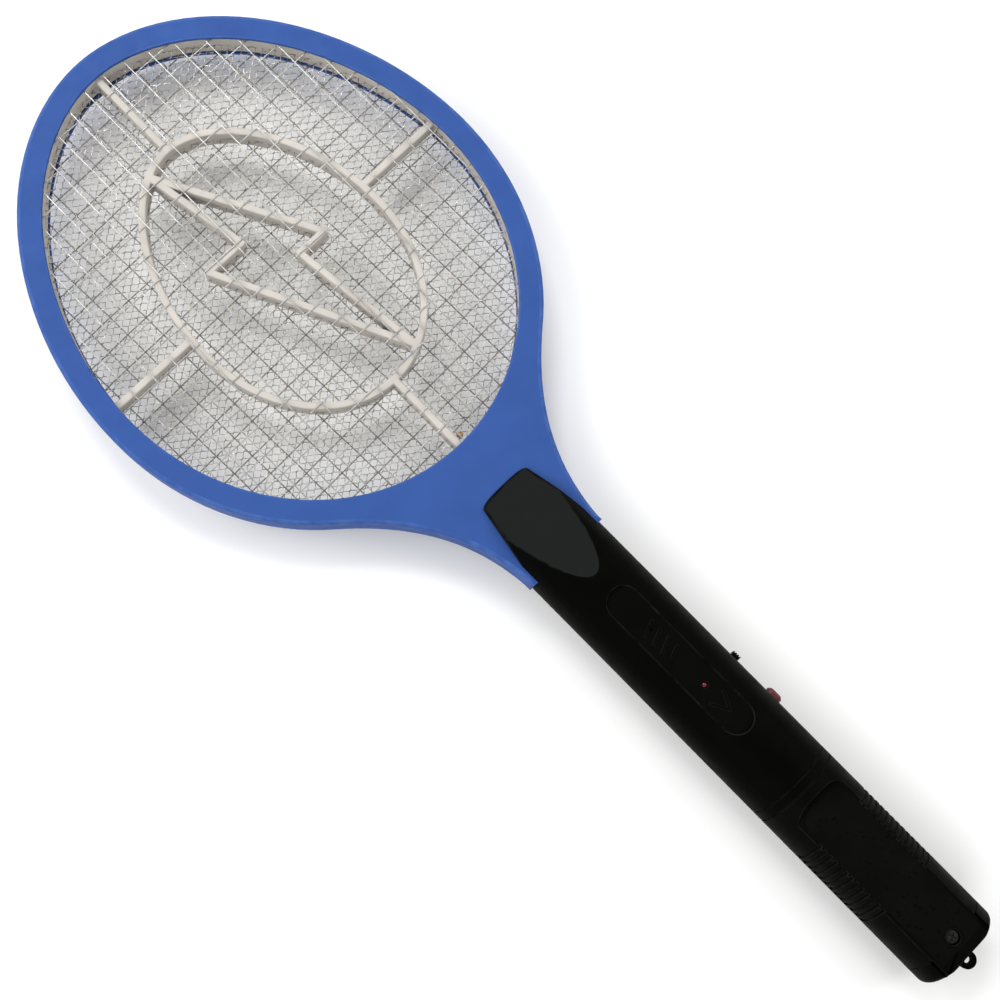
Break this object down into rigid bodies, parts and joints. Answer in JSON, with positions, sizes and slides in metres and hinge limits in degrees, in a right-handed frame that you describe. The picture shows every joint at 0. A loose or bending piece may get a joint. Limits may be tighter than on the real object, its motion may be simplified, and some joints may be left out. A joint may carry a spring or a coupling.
{
  "type": "electric fly swatter",
  "caption": "Racket-shaped electric fly swatter: egg-shaped blue frame with wire guards and a live mesh, on a round black handle with a slide switch, push button and battery cover.",
  "frame": {"origin": "middle of the racket's length and of the head's width, on the surface that the handle's back flat rests on", "axes": "+Y from the handle to the tip of the head, +Z out of the front face, +X to the right when the head is up and the front faces the viewer"},
  "size_m": [0.172, 0.45, 0.0315],
  "materials": {
    "frame_plastic": "matte",
    "guard_wire": "satin",
    "live_metal": "satin",
    "spacer_plastic": "satin",
    "eyelet_brass": "satin",
    "red_insulation": "gloss",
    "black_insulation": "gloss",
    "handle_plastic": "matte",
    "panel_plastic": "matte",
    "lamp_lens": "gloss",
    "board_laminate": "satin",
    "ferrite": "matte",
    "coil_tape": "satin",
    "capacitor_coat": "gloss",
    "component_black": "satin",
    "resistor_coat": "satin",
    "contact_steel": "satin",
    "knob_plastic": "satin",
    "button_plastic": "satin",
    "cover_plastic": "satin",
    "screw_steel": "satin",
    "cell_jacket": "gloss"
  },
  "bodies": {
    "racket": {"frame_front": "frame_plastic", "frame_rear": "frame_plastic", "front_guard": "guard_wire", "live_mesh": "live_metal", "rear_guard": "guard_wire", "front_spacer": "spacer_plastic", "rear_spacer": "spacer_plastic", "contact_eyelet": "eyelet_brass", "live_lead": "red_insulation", "ground_leads": "black_insulation", "handle_front": "handle_plastic", "handle_rear": "handle_plastic", "label_panel": "panel_plastic", "led": "lamp_lens", "circuit_board": "board_laminate", "transformer_core": "ferrite", "transformer_coil": "coil_tape", "storage_capacitors": "capacitor_coat", "rectifier_diodes": "component_black", "resistors": "resistor_coat", "transistor": "component_black", "slide_switch_case": "contact_steel", "push_switch_case": "component_black", "cell_left": "cell_jacket", "cell_right": "cell_jacket", "contact_positive": "contact_steel", "contact_negative": "contact_steel", "contact_link": "contact_steel", "contact_springs": "contact_steel", "battery_leads": "red_insulation", "handle_screws": "screw_steel"},
    "slider": {"slide_knob": "knob_plastic"},
    "button": {"push_button": "button_plastic", "switch_plunger": "component_black"},
    "cover": {"battery_cover": "cover_plastic"},
    "screw": {"cover_screw": "screw_steel"}
  },
  "joints": [
    {"name": "slider_slide", "type": "slide", "parent": "racket", "child": "slider", "axis": [0, 1, 0], "range_m": [0, 0.004]},
    {"name": "button_press", "type": "slide", "parent": "racket", "child": "button", "axis": [-1, 0, 0], "range_m": [0, 0.0012], "stiffness_N_per_m": 500, "springref_m": -0.001},
    {"name": "cover_lift", "type": "slide", "parent": "racket", "child": "cover", "axis": [0, 0, 1], "range_m": [0, 0.03]},
    {"name": "screw_turn", "type": "hinge", "parent": "cover", "child": "screw", "pos_m": [0, -0.209, 0.0248], "axis": [0, 0, 1], "continuous": true}
  ]
}
